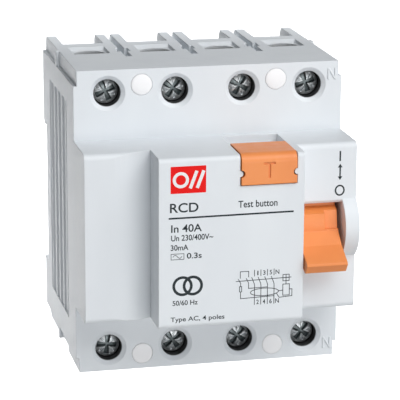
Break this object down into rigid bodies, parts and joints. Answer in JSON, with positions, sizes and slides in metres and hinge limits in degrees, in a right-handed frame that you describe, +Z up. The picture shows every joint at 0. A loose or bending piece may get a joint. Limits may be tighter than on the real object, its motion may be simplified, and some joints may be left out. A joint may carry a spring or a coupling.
{
  "type": "residual current device",
  "caption": "Modular rail-mounted switch with a toggle handle, a test button and screw terminals above and below, which opens its contacts on earth leakage.",
  "frame": {"origin": "middle of the rail seat, half way between the two lips of the rail notch", "axes": "+X across the poles to the right seen from the front, +Y from the front to the rail, +Z up"},
  "size_m": [0.072, 0.0764, 0.082],
  "materials": {
    "housing_grey": "fine matt moulded light grey",
    "cap_white": "satin white",
    "orange_plastic": "satin orange",
    "dark_plastic": "matt dark grey",
    "bright_steel": "zinc plated",
    "screw_steel": "zinc plated, dulled",
    "clamp_steel": "yellow zinc plated",
    "copper": "bare copper",
    "winding_copper": "enamelled and stranded copper",
    "contact_silver": "silver alloy",
    "brass_leaf": "spring brass",
    "resistor_body": "lacquered"
  },
  "bodies": {
    "case": {"rear_case": "housing_grey", "front_cover": "housing_grey", "sealing_caps": "cap_white", "case_screws": "bright_steel", "line_terminal_1": "copper", "line_terminal_2": "copper", "line_terminal_3": "copper", "line_terminal_n": "copper", "load_terminal_1": "copper", "load_terminal_2": "copper", "load_terminal_3": "copper", "load_terminal_n": "copper", "fixed_contact_tips": "contact_silver", "carrier_shaft": "bright_steel", "flexible_braids": "winding_copper", "transformer_case": "dark_plastic", "transformer_core": "bright_steel", "transformer_winding": "winding_copper", "relay_housing": "dark_plastic", "relay_coil": "winding_copper", "mechanism_frame": "bright_steel", "trip_lever_pin": "bright_steel", "handle_pin": "bright_steel", "test_button_spring": "bright_steel", "test_contact_pin": "bright_steel", "test_resistor": "resistor_body", "din_clip_spring": "bright_steel"},
    "terminal_screw_top_1": {"terminal_screw_top_1": "screw_steel"},
    "terminal_screw_top_2": {"terminal_screw_top_2": "screw_steel"},
    "terminal_screw_top_3": {"terminal_screw_top_3": "screw_steel"},
    "terminal_screw_top_n": {"terminal_screw_top_n": "screw_steel"},
    "terminal_screw_bottom_1": {"terminal_screw_bottom_1": "screw_steel"},
    "terminal_screw_bottom_2": {"terminal_screw_bottom_2": "screw_steel"},
    "terminal_screw_bottom_3": {"terminal_screw_bottom_3": "screw_steel"},
    "terminal_screw_bottom_n": {"terminal_screw_bottom_n": "screw_steel"},
    "terminal_clamp_top_1": {"terminal_clamp_top_1": "clamp_steel"},
    "terminal_clamp_top_2": {"terminal_clamp_top_2": "clamp_steel"},
    "terminal_clamp_top_3": {"terminal_clamp_top_3": "clamp_steel"},
    "terminal_clamp_top_n": {"terminal_clamp_top_n": "clamp_steel"},
    "terminal_clamp_bottom_1": {"terminal_clamp_bottom_1": "clamp_steel"},
    "terminal_clamp_bottom_2": {"terminal_clamp_bottom_2": "clamp_steel"},
    "terminal_clamp_bottom_3": {"terminal_clamp_bottom_3": "clamp_steel"},
    "terminal_clamp_bottom_n": {"terminal_clamp_bottom_n": "clamp_steel"},
    "handle": {"handle": "orange_plastic"},
    "drive_link": {"drive_link": "bright_steel"},
    "contact_carrier": {"contact_carrier": "dark_plastic", "moving_contact_1": "copper", "moving_contact_2": "copper", "moving_contact_3": "copper", "moving_contact_n": "copper", "moving_contact_tips": "contact_silver"},
    "relay_plunger": {"relay_plunger": "bright_steel"},
    "relay_armature": {"relay_armature": "bright_steel"},
    "trip_lever": {"trip_lever": "brass_leaf"},
    "test_button": {"test_button": "orange_plastic"},
    "test_contact": {"test_contact": "brass_leaf"},
    "din_clip": {"din_clip": "dark_plastic"}
  },
  "joints": [
    {"name": "terminal_screw_top_1_turn", "type": "hinge", "parent": "case", "child": "terminal_screw_top_1", "pos_m": [-0.027, -0.043, 0.0348], "axis": [0, 1, 0], "range_deg": [0, 2530]},
    {"name": "terminal_clamp_top_1_travel", "type": "slide", "parent": "case", "child": "terminal_clamp_top_1", "axis": [0, -1, 0], "range_m": [0, 0.0056]},
    {"name": "terminal_screw_top_2_turn", "type": "hinge", "parent": "case", "child": "terminal_screw_top_2", "pos_m": [-0.009, -0.043, 0.0348], "axis": [0, 1, 0], "range_deg": [0, 2530]},
    {"name": "terminal_clamp_top_2_travel", "type": "slide", "parent": "case", "child": "terminal_clamp_top_2", "axis": [0, -1, 0], "range_m": [0, 0.0056]},
    {"name": "terminal_screw_top_3_turn", "type": "hinge", "parent": "case", "child": "terminal_screw_top_3", "pos_m": [0.009, -0.043, 0.0348], "axis": [0, 1, 0], "range_deg": [0, 2530]},
    {"name": "terminal_clamp_top_3_travel", "type": "slide", "parent": "case", "child": "terminal_clamp_top_3", "axis": [0, -1, 0], "range_m": [0, 0.0056]},
    {"name": "terminal_screw_top_n_turn", "type": "hinge", "parent": "case", "child": "terminal_screw_top_n", "pos_m": [0.027, -0.043, 0.0348], "axis": [0, 1, 0], "range_deg": [0, 2530]},
    {"name": "terminal_clamp_top_n_travel", "type": "slide", "parent": "case", "child": "terminal_clamp_top_n", "axis": [0, -1, 0], "range_m": [0, 0.0056]},
    {"name": "terminal_screw_bottom_1_turn", "type": "hinge", "parent": "case", "child": "terminal_screw_bottom_1", "pos_m": [-0.027, -0.043, -0.0348], "axis": [0, 1, 0], "range_deg": [0, 2530]},
    {"name": "terminal_clamp_bottom_1_travel", "type": "slide", "parent": "case", "child": "terminal_clamp_bottom_1", "axis": [0, -1, 0], "range_m": [0, 0.0056]},
    {"name": "terminal_screw_bottom_2_turn", "type": "hinge", "parent": "case", "child": "terminal_screw_bottom_2", "pos_m": [-0.009, -0.043, -0.0348], "axis": [0, 1, 0], "range_deg": [0, 2530]},
    {"name": "terminal_clamp_bottom_2_travel", "type": "slide", "parent": "case", "child": "terminal_clamp_bottom_2", "axis": [0, -1, 0], "range_m": [0, 0.0056]},
    {"name": "terminal_screw_bottom_3_turn", "type": "hinge", "parent": "case", "child": "terminal_screw_bottom_3", "pos_m": [0.009, -0.043, -0.0348], "axis": [0, 1, 0], "range_deg": [0, 2530]},
    {"name": "terminal_clamp_bottom_3_travel", "type": "slide", "parent": "case", "child": "terminal_clamp_bottom_3", "axis": [0, -1, 0], "range_m": [0, 0.0056]},
    {"name": "terminal_screw_bottom_n_turn", "type": "hinge", "parent": "case", "child": "terminal_screw_bottom_n", "pos_m": [0.027, -0.043, -0.0348], "axis": [0, 1, 0], "range_deg": [0, 2530]},
    {"name": "terminal_clamp_bottom_n_travel", "type": "slide", "parent": "case", "child": "terminal_clamp_bottom_n", "axis": [0, -1, 0], "range_m": [0, 0.0056]},
    {"name": "handle_swing", "type": "hinge", "parent": "case", "child": "handle", "pos_m": [0.026, -0.0498, 0], "axis": [-1, 0, 0], "range_deg": [0, 34]},
    {"name": "link_swivel", "type": "hinge", "parent": "handle", "child": "drive_link", "pos_m": [0.0253, -0.0498, -0.006], "axis": [-1, 0, 0], "range_deg": [-34.5, 0.5]},
    {"name": "carrier_turn", "type": "hinge", "parent": "case", "child": "contact_carrier", "pos_m": [0, -0.024, 0.003], "axis": [-1, 0, 0], "range_deg": [0, 22.1]},
    {"name": "relay_plunger_travel", "type": "slide", "parent": "case", "child": "relay_plunger", "axis": [1, 0, 0], "range_m": [0, 0.0012], "stiffness_N_per_m": 60, "springref_m": -0.002},
    {"name": "relay_armature_tilt", "type": "hinge", "parent": "case", "child": "relay_armature", "pos_m": [0.0066, -0.054, -0.017], "axis": [0, 1, 0], "range_deg": [0, 14]},
    {"name": "trip_lever_turn", "type": "hinge", "parent": "case", "child": "trip_lever", "pos_m": [0.021, -0.04, -0.011], "axis": [0, 0, 1], "range_deg": [0, 6]},
    {"name": "test_button_press", "type": "slide", "parent": "case", "child": "test_button", "axis": [0, 1, 0], "range_m": [0, 0.002], "stiffness_N_per_m": 400, "springref_m": -0.003, "deforming": ["test_button_spring"]},
    {"name": "test_contact_tilt", "type": "hinge", "parent": "case", "child": "test_contact", "pos_m": [0.0103, -0.0513, 0.01], "axis": [-1, 0, 0], "range_deg": [0, 20]},
    {"name": "din_clip_travel", "type": "slide", "parent": "case", "child": "din_clip", "axis": [0, 0, -1], "range_m": [0, 0.004], "stiffness_N_per_m": 1500, "springref_m": -0.003, "deforming": ["din_clip_spring"]}
  ],
  "couplings": [
    {"joint": "terminal_screw_top_1_turn", "follows": "terminal_clamp_top_1_travel", "rad_per_m": 7854},
    {"joint": "terminal_screw_top_2_turn", "follows": "terminal_clamp_top_2_travel", "rad_per_m": 7854},
    {"joint": "terminal_screw_top_3_turn", "follows": "terminal_clamp_top_3_travel", "rad_per_m": 7854},
    {"joint": "terminal_screw_top_n_turn", "follows": "terminal_clamp_top_n_travel", "rad_per_m": 7854},
    {"joint": "terminal_screw_bottom_1_turn", "follows": "terminal_clamp_bottom_1_travel", "rad_per_m": 7854},
    {"joint": "terminal_screw_bottom_2_turn", "follows": "terminal_clamp_bottom_2_travel", "rad_per_m": 7854},
    {"joint": "terminal_screw_bottom_3_turn", "follows": "terminal_clamp_bottom_3_travel", "rad_per_m": 7854},
    {"joint": "terminal_screw_bottom_n_turn", "follows": "terminal_clamp_bottom_n_travel", "rad_per_m": 7854},
    {"joint": "link_swivel", "follows": "handle_swing", "ratio": -1},
    {"joint": "carrier_turn", "follows": "handle_swing", "ratio": 0.64412},
    {"joint": "relay_armature_tilt", "follows": "relay_plunger_travel", "rad_per_m": 200},
    {"joint": "trip_lever_turn", "follows": "relay_plunger_travel", "rad_per_m": 83.333},
    {"joint": "test_contact_tilt", "follows": "test_button_press", "rad_per_m": 170}
  ]
}
